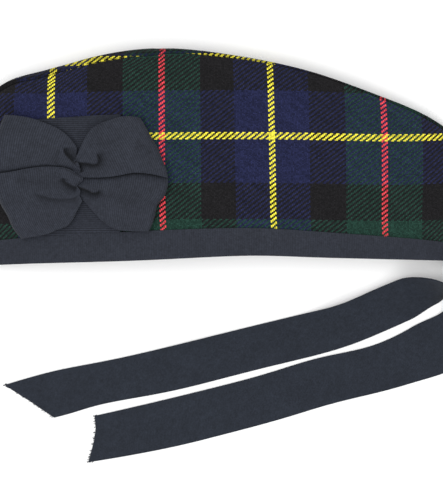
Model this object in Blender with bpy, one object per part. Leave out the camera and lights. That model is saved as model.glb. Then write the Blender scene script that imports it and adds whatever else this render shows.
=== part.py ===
"""A tartan glengarry cap lying on its right side, built from its sewn pieces.

Metres. X runs from the cap's front to its back, Y from its rim to its crown, and Z up from the
surface that it lies on. The origin is the middle of the right side's flat face.
"""

import math
from collections import namedtuple

import bmesh
import bpy
import numpy as np

# Cap
CAP_LENGTH = 0.290
CAP_HEIGHT = 0.121
RIM_SPREAD = 0.033
SIDE_SPREAD = 0.0305
RIDGE_HEIGHT = 0.024
RIDGE_SPREAD = 0.018
SEAM_HEIGHT = 0.008
CLOTH = 0.002
GAP = 0.0003
CROWN_FOLD = 0.035
CROWN_ROLL = 0.0030
CROWN_RISE = 0.003
TIP_SLACK = 4.5
TIP_EASE = 1.3

# Ribbon round the rim
BINDING_WIDTH = 0.016
BINDING_CLOTH = 0.001

# Ribbon patch and bow on the left side
PATCH_WIDTH = 0.051
PATCH_LENGTH = 0.068
PATCH_PLACE = 0.2175
PATCH_CLEARANCE = 0.0004
RIBBON_CLOTH = 0.0008
BOW_WIDTH = 0.1025
BOW_HEIGHT = 0.0725
BOW_PLACE = 0.2175
BOW_RISE = 0.047
LOBE_LOFT = 0.0065
ROOT_LOFT = 0.0024
LOBE_SPACE = 0.0006
TAIL_CLEARANCE = 0.0006
KNOT_WIDTH = 0.0085
KNOT_LENGTH = 0.014
KNOT_THICKNESS = 0.0045

# Ribbon tails
UPPER_TAIL_WIDTH = 0.0258
UPPER_TAIL_REACH = 0.2488
UPPER_TAIL_DROP = 0.0843
LOWER_TAIL_WIDTH = 0.0282
LOWER_TAIL_REACH = 0.2118
LOWER_TAIL_DROP = 0.1062
TAIL_CLOTH = 0.001

# Mesh density
STATIONS = 24
LOBE_STEPS = 8
LOBE_WIDTHS = 4
LOBE_TURN = (60.0, 30.0, 0.0, -30.0, -60.0)
PATCH_GRID = (6, 8)
KNOT_SIDES = 14
SHARP_ANGLE = 40.0
TURNED_SECTIONS = 9
TURNED_STATIONS = 18
FLAT_STATIONS = 13

# Side view of the cap. along is a share of CAP_LENGTH from the front, height a share of
# CAP_HEIGHT from the rim, rise a share of CROWN_RISE that the crown stands over the seam.
Ridge = namedtuple("Ridge", "along height rise")
RIDGE = (
    Ridge(0.021, 0.734, 0.70),
    Ridge(0.064, 0.811, 1.00),
    Ridge(0.154, 0.902, 0.80),
    Ridge(0.303, 0.987, 0.90),
    Ridge(0.414, 1.000, 1.00),
    Ridge(0.504, 0.983, 0.70),
    Ridge(0.624, 0.939, 0.42),
    Ridge(0.724, 0.874, 0.40),
    Ridge(0.824, 0.784, 0.45),
    Ridge(0.950, 0.642, 0.60),
    Ridge(0.988, 0.573, 0.60),
)

Rim = namedtuple("Rim", "along height")
RIM = (
    Rim(0.028, -0.025),
    Rim(0.064, -0.021),
    Rim(0.348, 0.000),
    Rim(0.507, 0.019),
    Rim(0.590, 0.024),
    Rim(0.662, 0.017),
    Rim(0.745, 0.011),
    Rim(0.967, -0.002),
)

Seam = namedtuple("Seam", "height along")
FRONT_SEAM = (
    Seam(-0.025, 0.028),
    Seam(0.300, 0.012),
    Seam(0.600, 0.000),
    Seam(0.734, 0.021),
)
BACK_SEAM = (
    Seam(-0.002, 0.967),
    Seam(0.250, 0.986),
    Seam(0.440, 1.000),
    Seam(0.573, 0.988),
)

# Left side's height over the surface along its middle, as shares of the way from rim to ridge
Side = namedtuple("Side", "rise height")
LEFT_SIDE = (
    Side(0.00, RIM_SPREAD),
    Side(0.35, RIM_SPREAD),
    Side(0.75, SIDE_SPREAD),
    Side(0.93, (SIDE_SPREAD + RIDGE_HEIGHT) / 2.0),
    Side(1.00, RIDGE_HEIGHT),
)
SIDE_FULLNESS = 2.4
RIDGE_ROLL = 0.10
SEAM_FACING = 0.90
REST_START = 0.30

# Rows of a side's grid, as shares of the way from rim to ridge above the binding
SIDE_ROWS = (0.12, 0.26, 0.42, 0.58, 0.72, 0.84, 0.93, 1.00)
BINDING_ROWS = 2

# Crown's fold: depth as a share of CROWN_FOLD along the ridge
Fold = namedtuple("Fold", "along depth")
CROWN_FOLDS = (
    Fold(0.00, 0.00),
    Fold(0.08, 0.06),
    Fold(0.22, 0.60),
    Fold(0.45, 1.00),
    Fold(0.70, 0.85),
    Fold(0.90, 0.15),
    Fold(1.00, 0.00),
)

# Crown's line from a ridge seam to the bottom of the fold. rise is a share of its rise over the
# seam, fold of its depth, roll of CROWN_ROLL, and inward of the way to the fold's middle.
Bend = namedtuple("Bend", "rise fold roll inward")
CROWN_LINE = (
    Bend(0.00, 0.00, 0.00, 0.00),
    Bend(0.75, 0.00, 0.15, 0.00),
    Bend(1.00, 0.00, 1.00, 0.00),
    Bend(0.90, 0.10, 1.90, 0.00),
    Bend(0.45, 0.55, 1.90, 0.35),
    Bend(0.08, 0.92, 1.90, 0.65),
)
CROWN_ROLLS = 5.0

# Bow's loops in plan, as shares of BOW_WIDTH and BOW_HEIGHT from the knot's middle. seam is the
# side that meets the loop above or below, edge the free side, and bulge how far edge and tip bow out.
Lobe = namedtuple("Lobe", "name root_seam root_edge tip_edge tip_seam edge_bulge tip_bulge loft")
LOBES = (
    Lobe(
        "bow_lobe_front_upper",
        (-0.050, 0.050), (-0.023, 0.230), (-0.440, 0.520), (-0.474, 0.073),
        0.10, 0.02, 0.85,
    ),
    Lobe(
        "bow_lobe_front_lower",
        (-0.050, 0.020), (0.000, -0.115), (-0.341, -0.480), (-0.486, 0.055),
        0.14, 0.04, 1.00,
    ),
    Lobe(
        "bow_lobe_back_upper",
        (0.030, 0.040), (-0.006, 0.220), (0.354, 0.490), (0.505, 0.003),
        0.14, 0.02, 1.00,
    ),
    Lobe(
        "bow_lobe_back_lower",
        (0.030, -0.010), (0.020, -0.125), (0.405, -0.416), (0.505, -0.016),
        0.12, -0.01, 0.90,
    ),
)

# A tail's sections from the cap to its cut end. out and down are shares of the tail's reach and
# drop from the root, heading is the way it runs in plan in degrees, lean 90 where it stands on
# edge and 0 where it lies flat, and spread the width of the cloth there over the ribbon's width:
# under 1 where it is gathered.
Section = namedtuple("Section", "out down heading lean spread")
TACK_HEADING = 96.0
TACK_SPREAD = 0.56
UPPER_TAIL = (
    Section(0.001, 0.056, 94.0, 90.0, 0.64),
    Section(0.002, 0.119, 84.0, 90.0, 0.80),
    Section(0.007, 0.175, 55.0, 88.0, 0.94),
    Section(0.018, 0.216, 20.0, 73.0, 1.00),
    Section(0.044, 0.228, 18.0, 54.0, 1.00),
    Section(0.074, 0.245, 20.0, 38.0, 1.00),
    Section(0.111, 0.287, 15.0, 14.0, 1.00),
    Section(0.168, 0.358, 12.0, 4.0, 1.00),
    Section(0.234, 0.449, 16.0, 20.0, 1.00),
    Section(0.322, 0.524, 13.5, 0.0, 1.00),
    Section(0.531, 0.674, 14.0, 0.0, 1.00),
    Section(0.706, 0.801, 13.5, 0.0, 1.00),
    Section(0.893, 0.912, 15.0, 0.0, 1.00),
    Section(1.000, 1.000, 55.0, 0.0, 1.33),
)
LOWER_TAIL = (
    Section(-0.011, 0.055, 96.0, 90.0, 0.62),
    Section(-0.024, 0.128, 100.0, 84.0, 0.78),
    Section(-0.035, 0.206, 92.0, 66.0, 0.94),
    Section(-0.035, 0.301, 66.0, 36.0, 1.02),
    Section(-0.011, 0.411, 30.0, 6.0, 1.10),
    Section(0.064, 0.500, 19.5, 0.0, 1.17),
    Section(0.124, 0.549, 16.0, 0.0, 1.07),
    Section(0.192, 0.603, 16.0, 0.0, 0.98),
    Section(0.342, 0.671, 16.5, 0.0, 1.00),
    Section(0.499, 0.766, 16.0, 0.0, 1.00),
    Section(0.622, 0.832, 14.5, 0.0, 1.00),
    Section(0.835, 0.936, 13.5, 0.0, 1.00),
    Section(1.000, 1.000, 9.0, 0.0, 0.92),
)


def through(places, values):
    """A smooth function of one value through the given places and values."""
    places = np.array(places, float)
    values = np.array(values, float)
    step = np.diff(places)
    slope = np.diff(values) / step
    last = len(places) - 1
    system = np.eye(last + 1)
    right = np.zeros(last + 1)
    for row in range(1, last):
        system[row, row - 1] = step[row - 1]
        system[row, row] = 2.0 * (step[row - 1] + step[row])
        system[row, row + 1] = step[row]
        right[row] = 6.0 * (slope[row] - slope[row - 1])
    bend = np.linalg.solve(system, right)

    def value(at):
        """Cubic piece between the two places round this one."""
        k = np.clip(np.searchsorted(places, at) - 1, 0, last - 1)
        before = np.asarray(at) - places[k]
        after = places[k + 1] - np.asarray(at)
        h = step[k]
        curve = (bend[k] * after**3 + bend[k + 1] * before**3) / (6.0 * h)
        start = (values[k] / h - bend[k] * h / 6.0) * after
        end = (values[k + 1] / h - bend[k + 1] * h / 6.0) * before
        return curve + start + end

    return value


def column(table, name):
    """One named column of a table."""
    return [getattr(row, name) for row in table]


ridge_line = through(column(RIDGE, "along"), column(RIDGE, "height"))
ridge_rise = through(column(RIDGE, "along"), column(RIDGE, "rise"))
rim_line = through(column(RIM, "along"), column(RIM, "height"))
front_line = through(column(FRONT_SEAM, "height"), column(FRONT_SEAM, "along"))
back_line = through(column(BACK_SEAM, "height"), column(BACK_SEAM, "along"))
left_profile = through(column(LEFT_SIDE, "rise"), column(LEFT_SIDE, "height"))
fold_depth = through(column(CROWN_FOLDS, "along"), column(CROWN_FOLDS, "depth"))


def mix(start, end, share):
    """The value this share of the way from start to end."""
    return start + (end - start) * share


def plan(u, v):
    """Place on a side in plan: u from the front seam to the back one, v from rim to ridge."""
    rim_x = mix(RIM[0].along, RIM[-1].along, u)
    top_x = mix(RIDGE[0].along, RIDGE[-1].along, u)
    rim_y = rim_line(rim_x)
    top_y = ridge_line(top_x)
    front_y = mix(FRONT_SEAM[0].height, FRONT_SEAM[-1].height, v)
    back_y = mix(BACK_SEAM[0].height, BACK_SEAM[-1].height, v)
    front_x = front_line(front_y)
    back_x = back_line(back_y)
    low_corners = mix(RIM[0].height, RIM[-1].height, u)
    high_corners = mix(RIDGE[0].height, RIDGE[-1].height, u)
    x = mix(front_x, back_x, u)
    y = mix(rim_y, top_y, v) + mix(front_y, back_y, u) - mix(low_corners, high_corners, v)
    under_binding = (BINDING_CLOTH + GAP) * (1.0 - v)
    return (x - 0.5) * CAP_LENGTH, (y - 0.5) * CAP_HEIGHT + under_binding


def fullness(u):
    """How far the cap has opened at a share of its length: 0 at its seams, 1 at its middle."""
    return np.sqrt(np.clip(1.0 - np.abs(2.0 * u - 1.0) ** SIDE_FULLNESS, 0.0, 1.0))


def left_height(u, v):
    """The left side's height over the surface."""
    seam = SEAM_HEIGHT + GAP / 2.0
    return seam + (left_profile(v) - seam) * fullness(u)


def right_height(u, v):
    """The right side's height: flat on the surface, rolled up at its seams and ridge."""
    to_seam = np.minimum(u, 1.0 - u) * CAP_LENGTH
    end = np.sqrt(1.0 - np.clip(1.0 - to_seam / SEAM_HEIGHT, 0.0, 1.0) ** 2)
    roll = np.clip((v - 1.0 + RIDGE_ROLL) / RIDGE_ROLL, 0.0, 1.0)
    ridge = (RIDGE_HEIGHT - RIDGE_SPREAD) * (1.0 - np.sqrt(1.0 - roll**2))
    bound = BINDING_WIDTH / CAP_HEIGHT
    over_binding = np.clip((REST_START - v) / (REST_START - bound), 0.0, 1.0)
    seam = SEAM_HEIGHT - GAP / 2.0
    return seam - (seam - ridge - (BINDING_CLOTH + GAP) * over_binding) * end


def stations():
    """Shares from the front seam to the back one, closer together near both."""
    turn = np.linspace(0.0, math.pi, STATIONS + 1)
    return (1.0 - np.cos(turn)) / 2.0


def side_rows():
    """Shares from rim to ridge: the rows under the binding, then those above it."""
    bound = BINDING_WIDTH / CAP_HEIGHT
    under = [bound * row / BINDING_ROWS for row in range(BINDING_ROWS + 1)]
    return np.array(under + [mix(bound, 1.0, share) for share in SIDE_ROWS])


def unit(vectors):
    """Vectors of length one."""
    return vectors / np.linalg.norm(vectors, axis=-1, keepdims=True)


def grid_normals(points, side):
    """Normals of a grid of points, by the slopes along its rows and columns."""
    return unit(np.cross(np.gradient(points, axis=0), np.gradient(points, axis=1))) * side


def ridge_outward():
    """Unit vectors in plan, square to the ridge and pointing out of the cap."""
    x, y = plan(stations(), np.ones(STATIONS + 1))
    run = unit(np.stack([np.gradient(x), np.gradient(y), np.zeros_like(x)], axis=-1))
    return np.stack([-run[:, 1], run[:, 0], run[:, 2]], axis=-1)


def ridge_seam(side):
    """Normals and up-the-wall directions at the ridge seam, for side 1, left, or -1, right."""
    facing = SEAM_FACING * fullness(stations())
    out = ridge_outward()
    up = np.array([0.0, 0.0, float(side)])
    along = np.sqrt(1.0 - facing**2)[:, None]
    facing = facing[:, None]
    return out * along + up * facing, out * facing - up * along


def side_grid(side):
    """Outer points and normals of a side panel, for side 1, left, or -1, right."""
    u, v = np.meshgrid(stations(), side_rows(), indexing="ij")
    x, y = plan(u, v)
    z = left_height(u, v) if side > 0 else right_height(u, v)
    points = np.stack([x, y, z], axis=-1)
    normals = grid_normals(points, float(side))
    for end in (0, -1):
        normals[end, :, 2] = 0.0
    for row in range(BINDING_ROWS + 1):
        normals[:, row, 1] = 0.0
    normals = unit(normals)
    seam, up_wall = ridge_seam(side)
    normals[:, -1] = seam
    points[:, -1] -= up_wall * GAP / 2.0
    return points, normals


def material(name, color, roughness):
    """A cloth finish."""
    finish = bpy.data.materials.new(name)
    finish.use_nodes = True
    shader = finish.node_tree.nodes["Principled BSDF"]
    shader.inputs["Base Color"].default_value = (*color, 1.0)
    shader.inputs["Roughness"].default_value = roughness
    shader.inputs["Metallic"].default_value = 0.0
    return finish


def add_object(name, mesh, finish):
    """Put a finished bmesh in the scene as one smooth-shaded object."""
    data = bpy.data.meshes.new(name)
    mesh.to_mesh(data)
    mesh.free()
    data.shade_smooth()
    data.set_sharp_from_angle(angle=math.radians(SHARP_ANGLE))
    data.materials.append(finish)
    obj = bpy.data.objects.new(name, data)
    bpy.context.scene.collection.objects.link(obj)
    return obj


def wall(outer, inner, ring=False):
    """A closed wall between two grids of points; ring joins the last row of points to the first."""
    mesh = bmesh.new()
    rows, columns = outer.shape[:2]
    sheets = []
    for sheet in (outer, inner):
        sheets.append([[mesh.verts.new(point) for point in line] for line in sheet])
    steps = rows if ring else rows - 1
    for i in range(steps):
        j = (i + 1) % rows
        for k in range(columns - 1):
            top = [sheets[0][i][k], sheets[0][j][k], sheets[0][j][k + 1], sheets[0][i][k + 1]]
            low = [sheets[1][i][k + 1], sheets[1][j][k + 1], sheets[1][j][k], sheets[1][i][k]]
            mesh.faces.new(top)
            mesh.faces.new(low)
        for k in (0, columns - 1):
            mesh.faces.new([sheets[0][j][k], sheets[0][i][k], sheets[1][i][k], sheets[1][j][k]])
    if not ring:
        for i in (0, rows - 1):
            for k in range(columns - 1):
                quad = [sheets[0][i][k], sheets[0][i][k + 1], sheets[1][i][k + 1], sheets[1][i][k]]
                mesh.faces.new(quad)
    bmesh.ops.recalc_face_normals(mesh, faces=mesh.faces)
    return mesh


def side_panel(name, side, finish):
    """One tartan side of the cap."""
    points, normals = side_grid(side)
    add_object(name, wall(points, points - normals * CLOTH), finish)


def crown_section(near, far, rise, depth, roll):
    """The crown's outer line over one station, as (out, height) points from seam to seam."""
    middle = (near + far) / 2.0
    half = (near - far) / 2.0
    arm = half - CROWN_LINE[-1].roll * roll
    line = []
    for row in CROWN_LINE:
        out = row.rise * rise - row.fold * depth
        line.append((out, half - row.roll * roll - row.inward * arm))
    other = [(out, -height) for out, height in reversed(line)]
    return [(out, middle + height) for out, height in line + [(-depth, 0.0)] + other]


def crown(finish):
    """The oval top piece, folded inward between the ridges."""
    left, _ = side_grid(1)
    right, _ = side_grid(-1)
    left_normal, left_up = ridge_seam(1)
    right_normal, right_up = ridge_seam(-1)
    out = ridge_outward()
    u = stations()
    lines = []
    for k in range(1, STATIONS):
        slack = GAP * mix(TIP_SLACK, 1.0, fullness(u[k]))
        near = left[k, -1] + left_up[k] * slack
        far = right[k, -1] + right_up[k] * slack
        spread = near[2] - far[2]
        roll = min(CROWN_ROLL, spread / CROWN_ROLLS)
        rise = CROWN_RISE * ridge_rise(mix(RIDGE[0].along, RIDGE[-1].along, u[k]))
        depth = CROWN_FOLD * max(fold_depth(u[k]), 0.0)
        section = crown_section(near[2], far[2], rise, depth, roll)
        base = [mix(near, far, share) for share in np.linspace(0.0, 1.0, len(section))]
        line = []
        for (reach, height), foot in zip(section, base):
            line.append([foot[0] + out[k, 0] * reach, foot[1] + out[k, 1] * reach, height])
        lines.append(line)
    points = np.array(lines)
    keep = np.clip(TIP_EASE * fullness(u[1:STATIONS]), 0.0, 1.0)[:, None, None]
    normals = unit(mix(out[1:STATIONS, None], grid_normals(points, 1.0), keep))
    normals[:, 0] = left_normal[1:STATIONS]
    normals[:, -1] = right_normal[1:STATIONS]
    add_object("crown", wall(points, points - normals * CLOTH), finish)


def rim_ring():
    """Points and normals of the wall's lowest rows all round the rim, front seam first."""
    rows = BINDING_ROWS + 1
    left, left_normal = side_grid(1)
    right, right_normal = side_grid(-1)
    ends = [(left[end, :rows] + right[end, :rows]) / 2.0 for end in (0, -1)]
    points = [ends[0], *left[1:-1, :rows], ends[1], *right[-2:0:-1, :rows]]
    normals = [left_normal[0, :rows], *left_normal[1:-1, :rows]]
    normals += [left_normal[-1, :rows], *right_normal[-2:0:-1, :rows]]
    return np.array(points), np.array(normals)


def binding(finish):
    """The ribbon folded round the rim, outside and inside."""
    points, normals = rim_ring()
    down = np.array([0.0, -1.0, 0.0])
    near = GAP
    far = GAP + BINDING_CLOTH
    inside = CLOTH + GAP
    deep = CLOTH + GAP + BINDING_CLOTH
    edge = points[:, 0]
    skin = [points[:, row] + normals[:, row] * far for row in range(BINDING_ROWS, -1, -1)]
    skin.append(edge + down * far + normals[:, 0] * far)
    skin.append(edge + down * far - normals[:, 0] * deep)
    skin += [points[:, row] - normals[:, row] * deep for row in range(BINDING_ROWS + 1)]
    core = [points[:, row] + normals[:, row] * near for row in range(BINDING_ROWS, -1, -1)]
    core.append(edge + down * near + normals[:, 0] * near)
    core.append(edge + down * near - normals[:, 0] * inside)
    core += [points[:, row] - normals[:, row] * inside for row in range(BINDING_ROWS + 1)]
    outer = np.stack(skin, axis=1)
    inner = np.stack(core, axis=1)
    add_object("binding", wall(outer, inner, ring=True), finish)


def side_share(x, y):
    """The shares u and v of the left side at a place in plan."""
    u = x / CAP_LENGTH + 0.5
    v = y / CAP_HEIGHT + 0.5
    for _ in range(20):
        at_x, at_y = plan(u, v)
        u = np.clip(u + (x - at_x) / CAP_LENGTH, 0.0, 1.0)
        v = np.clip(v + (y - at_y) / CAP_HEIGHT, 0.0, 1.0)
    return u, v


def left_side_at(x, y):
    """Points on the left side's outer face over places in plan."""
    return np.stack([x, y, left_height(*side_share(x, y))], axis=-1)


def binding_top(x):
    """Height in plan of the binding's upper edge."""
    u, _ = side_share(x, np.full_like(x, -CAP_HEIGHT / 2.0))
    return plan(u, BINDING_WIDTH / CAP_HEIGHT)[1]


def cockade_patch(finish):
    """The ribbed ribbon patch, sewn from the binding up."""
    middle = (PATCH_PLACE - 0.5) * CAP_LENGTH
    wide, high = PATCH_GRID
    across, up = np.meshgrid(np.linspace(-0.5, 0.5, wide), np.linspace(0.0, 1.0, high), indexing="ij")
    x = middle + across * PATCH_WIDTH
    y = binding_top(x) + GAP + up * PATCH_LENGTH
    points = left_side_at(x, y)
    normals = grid_normals(points, 1.0)
    low = points + normals * PATCH_CLEARANCE
    add_object("cockade_patch", wall(low + normals * RIBBON_CLOTH, low), finish)


def bow_middle():
    """The knot's place in plan."""
    return (BOW_PLACE - 0.5) * CAP_LENGTH, BOW_RISE - CAP_HEIGHT / 2.0


def lobe_plan(lobe, along, across):
    """A loop's place in plan: along from root to tip, across from its seam side to its free edge."""
    size = np.array([BOW_WIDTH, BOW_HEIGHT])
    root_seam, root_edge = np.array(lobe.root_seam) * size, np.array(lobe.root_edge) * size
    tip_seam, tip_edge = np.array(lobe.tip_seam) * size, np.array(lobe.tip_edge) * size
    place = mix(mix(root_seam, tip_seam, along), mix(root_edge, tip_edge, along), across)
    edge = tip_edge - root_edge
    tip = tip_edge - tip_seam
    turn = 1.0 if edge[0] * tip[1] - edge[1] * tip[0] > 0.0 else -1.0
    edge_out = turn * np.array([-edge[1], edge[0]])
    tip_out = turn * np.array([tip[1], -tip[0]])
    place = place + edge_out * lobe.edge_bulge * across * math.sin(math.pi * along**0.7)
    return place + tip_out * lobe.tip_bulge * along**2 * math.sin(math.pi * across)


def lobe_section(loft):
    """A loop's side view as (along, height, lean) from its top root round the tip to its low root."""
    turn = loft / BOW_WIDTH
    line = []
    for step in np.linspace(0.0, 1.0, LOBE_STEPS):
        along = mix(0.0, 1.0 - turn, step)
        height = mix(ROOT_LOFT, loft, math.sin(math.pi / 2.0 * step))
        line.append((along, height, (0.0, 1.0)))
    for angle in LOBE_TURN:
        lean = (math.cos(math.radians(angle)), math.sin(math.radians(angle)))
        line.append((1.0 - turn + turn * lean[0], loft / 2.0 * (1.0 + lean[1]), lean))
    for step in np.linspace(1.0, 0.0, LOBE_STEPS // 2):
        line.append((mix(0.0, 1.0 - turn, step), 0.0, (0.0, -1.0)))
    return line


def bow_lobe(lobe, finish):
    """One loop of the bow: a ribbon that runs out, turns over at its tip and comes back beneath."""
    base = PATCH_CLEARANCE + RIBBON_CLOTH + LOBE_SPACE
    middle = np.array(bow_middle())
    loft = LOBE_LOFT * lobe.loft
    outer, inner = [], []
    for along, height, lean in lobe_section(loft):
        line = [], []
        for across in np.linspace(0.0, 1.0, LOBE_WIDTHS + 1):
            spot = middle + lobe_plan(lobe, along, across)
            inset = middle + lobe_plan(lobe, along - lean[0] * RIBBON_CLOTH / (BOW_WIDTH / 2.0), across)
            floor = left_side_at(*spot)[2] + base
            line[0].append([spot[0], spot[1], floor + height])
            line[1].append([inset[0], inset[1], floor + height - lean[1] * RIBBON_CLOTH])
        outer.append(line[0])
        inner.append(line[1])
    add_object(lobe.name, wall(np.array(outer), np.array(inner)), finish)


def bow_knot(finish):
    """The wrap over the loops' roots, a flat-bottomed pillow."""
    x, y = bow_middle()
    floor = left_side_at(x, y)[2] + PATCH_CLEARANCE + RIBBON_CLOTH + 3.0 * LOBE_SPACE + ROOT_LOFT
    mesh = bmesh.new()
    bmesh.ops.create_uvsphere(mesh, u_segments=KNOT_SIDES, v_segments=KNOT_SIDES // 2 + 1, radius=1.0)
    size = (KNOT_WIDTH / 2.0, KNOT_LENGTH / 2.0, KNOT_THICKNESS)
    bmesh.ops.scale(mesh, vec=size, verts=mesh.verts)
    everything = mesh.verts[:] + mesh.edges[:] + mesh.faces[:]
    cut = bmesh.ops.bisect_plane(
        mesh, geom=everything, plane_co=(0.0, 0.0, 0.0), plane_no=(0.0, 0.0, -1.0), clear_outer=True
    )
    rim = [item for item in cut["geom_cut"] if isinstance(item, bmesh.types.BMEdge)]
    bmesh.ops.contextual_create(mesh, geom=rim)
    bmesh.ops.translate(mesh, vec=(x, y, floor), verts=mesh.verts)
    bmesh.ops.recalc_face_normals(mesh, faces=mesh.faces)
    add_object("bow_knot", mesh, finish)


def tail(name, table, width, reach, drop, tacked, finish):
    """A ribbon tail from its tack behind the binding to its cut end; tacked counts the layers there."""
    clear = BINDING_CLOTH + GAP + tacked * (TAIL_CLOTH + TAIL_CLEARANCE) - TAIL_CLOTH / 2.0
    rows = []
    for share in (1.0, 0.5, 0.0):
        x, y = plan(1.0, share * BINDING_WIDTH / CAP_HEIGHT)
        rows.append([x + clear, y, TACK_HEADING, 90.0, TACK_SPREAD])
    root = rows[-1]
    for row in table:
        x = root[0] - row.out * reach
        y = root[1] - row.down * drop
        rows.append([x, y, row.heading, row.lean, row.spread])
    rows = np.array(rows)
    run = np.concatenate([[0.0], np.cumsum(np.hypot(*np.diff(rows[:, :2], axis=0).T))])
    turned = np.linspace(0.0, run[TURNED_SECTIONS], TURNED_STATIONS, endpoint=False)
    at = np.concatenate([turned, np.linspace(run[TURNED_SECTIONS], run[-1], FLAT_STATIONS)])
    x, y, heading, lean, spread = (through(run, rows[:, k])(at) for k in range(5))
    heading = np.radians(heading)
    lean = np.radians(np.clip(lean, 0.0, 90.0))
    flat = np.stack([np.sin(heading), -np.cos(heading), np.zeros_like(x)], axis=-1)
    up = np.array([0.0, 0.0, 1.0])
    across = flat * np.cos(lean)[:, None] - up * np.sin(lean)[:, None]
    normal = flat * np.sin(lean)[:, None] + up * np.cos(lean)[:, None]
    half = (width * spread / 2.0)[:, None]
    lift = TAIL_CLOTH / 2.0 * np.cos(lean) + half[:, 0] * np.sin(lean)
    middle = np.stack([x, y, lift], axis=-1)
    sheet = np.stack([middle - across * half, middle, middle + across * half], axis=1)
    skin = normal[:, None] * TAIL_CLOTH / 2.0
    add_object(name, wall(sheet + skin, sheet - skin), finish)


def build():
    """Clear the scene and make every piece."""
    for obj in list(bpy.data.objects):
        bpy.data.objects.remove(obj)
    tartan = material("tartan wool", (0.014, 0.024, 0.045), 0.9)
    crown_wool = material("tartan wool crown", (0.012, 0.016, 0.030), 0.9)
    grosgrain = material("binding grosgrain", (0.033, 0.035, 0.047), 0.75)
    ribbon = material("bow grosgrain", (0.036, 0.038, 0.046), 0.7)
    side_panel("side_panel_left", 1, tartan)
    side_panel("side_panel_right", -1, tartan)
    crown(crown_wool)
    binding(grosgrain)
    cockade_patch(ribbon)
    for lobe in LOBES:
        bow_lobe(lobe, ribbon)
    bow_knot(ribbon)
    tail("ribbon_tail_upper", UPPER_TAIL, UPPER_TAIL_WIDTH, UPPER_TAIL_REACH, UPPER_TAIL_DROP, 1, ribbon)
    tail("ribbon_tail_lower", LOWER_TAIL, LOWER_TAIL_WIDTH, LOWER_TAIL_REACH, LOWER_TAIL_DROP, 2, ribbon)


build()
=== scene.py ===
"""The finish of a tartan glengarry cap lying on its right side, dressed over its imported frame.

Metres, in the frame's axes: X runs from the cap's front to its back, Y from its rim to its crown
and Z up from the floor.
"""

import logging
import math
from contextlib import contextmanager
from dataclasses import dataclass
from enum import Enum
from typing import Callable, Iterator, Sequence

import bmesh
import bpy
import numpy as np
from mathutils import Matrix, Vector, noise
from mathutils.bvhtree import BVHTree
from mathutils.kdtree import KDTree


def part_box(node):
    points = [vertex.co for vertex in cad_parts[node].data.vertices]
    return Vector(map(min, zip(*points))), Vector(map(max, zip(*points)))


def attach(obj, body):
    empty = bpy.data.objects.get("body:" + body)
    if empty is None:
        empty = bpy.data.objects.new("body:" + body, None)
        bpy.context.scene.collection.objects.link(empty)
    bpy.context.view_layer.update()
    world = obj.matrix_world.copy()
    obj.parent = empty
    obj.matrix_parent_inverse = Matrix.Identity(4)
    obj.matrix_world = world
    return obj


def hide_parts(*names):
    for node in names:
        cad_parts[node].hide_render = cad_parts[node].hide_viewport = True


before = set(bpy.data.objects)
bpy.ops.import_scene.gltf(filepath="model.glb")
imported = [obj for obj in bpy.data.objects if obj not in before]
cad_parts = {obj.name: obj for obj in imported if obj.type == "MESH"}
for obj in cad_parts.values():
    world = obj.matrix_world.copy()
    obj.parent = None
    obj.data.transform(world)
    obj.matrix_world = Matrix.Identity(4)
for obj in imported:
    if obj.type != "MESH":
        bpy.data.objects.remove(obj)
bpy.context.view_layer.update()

BODY = "root"
CLOTH_MAP = "cloth"
SHADE = "shade"
MM = 0.001
MERGE = 0.00001
QUAD_ANGLE = math.radians(70.0)
FLATTEN_ROUNDS = 30
SHEEN_ROUGHNESS = 0.5
UPWARD = Vector((0.0, 0.0, 1.0))

log = logging.getLogger("cap")

Point = tuple[float, float]
Color = tuple[float, float, float, float]
Socket = bpy.types.NodeSocket
Inputs = dict[str | int, object]


class Side(Enum):
    """The cap's two tartan sides, with the way each faces."""

    LEFT = 1.0
    RIGHT = -1.0


class Slot(Enum):
    """The record's material slots."""

    TARTAN = "tartan"
    GROSGRAIN = "grosgrain"
    BOW_RIBBON = "bow_ribbon"


def deselect() -> None:
    """Deselect everything and leave no object active."""
    bpy.ops.object.select_all(action="DESELECT")
    bpy.context.view_layer.objects.active = None


def activate(piece: bpy.types.Object) -> None:
    """Make one object the only selected and active one.

    Args:
        piece: the object to work on.
    """
    deselect()
    piece.select_set(True)
    bpy.context.view_layer.objects.active = piece


@contextmanager
def editing(piece: bpy.types.Object) -> Iterator[None]:
    """Edit mode on one object, with nothing selected at first.

    Args:
        piece: the object to edit.
    """
    activate(piece)
    bpy.ops.object.mode_set(mode="EDIT")
    bpy.ops.mesh.select_mode(type="VERT")
    bpy.ops.mesh.select_all(action="DESELECT")
    yield
    bpy.ops.object.mode_set(mode="OBJECT")


def apply_modifier(piece: bpy.types.Object, kind: str, **settings: object) -> None:
    """Add a modifier to a piece, set it and apply it.

    Args:
        piece: the object to change.
        kind: the modifier's type.
        settings: its properties by name.
    """
    activate(piece)
    modifier = piece.modifiers.new(kind.lower(), kind)
    for key, value in settings.items():
        setattr(modifier, key, value)
    bpy.ops.object.modifier_apply(modifier=modifier.name)


def subdivide(piece: bpy.types.Object, levels: int) -> None:
    """Apply a subdivision surface of some levels to a piece."""
    apply_modifier(piece, "SUBSURF", levels=levels, render_levels=levels)


def positions(piece: bpy.types.Object) -> np.ndarray:
    """A mesh's vertex positions.

    Args:
        piece: the object with the mesh.

    Returns:
        One row of x, y and z for each vertex.
    """
    places = np.empty(len(piece.data.vertices) * 3)
    piece.data.vertices.foreach_get("co", places)
    return places.reshape(-1, 3)


def move_to(piece: bpy.types.Object, places: np.ndarray) -> None:
    """Set a mesh's vertex positions from rows."""
    piece.data.vertices.foreach_set("co", places.astype(np.float32).ravel())
    piece.data.update()


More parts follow.
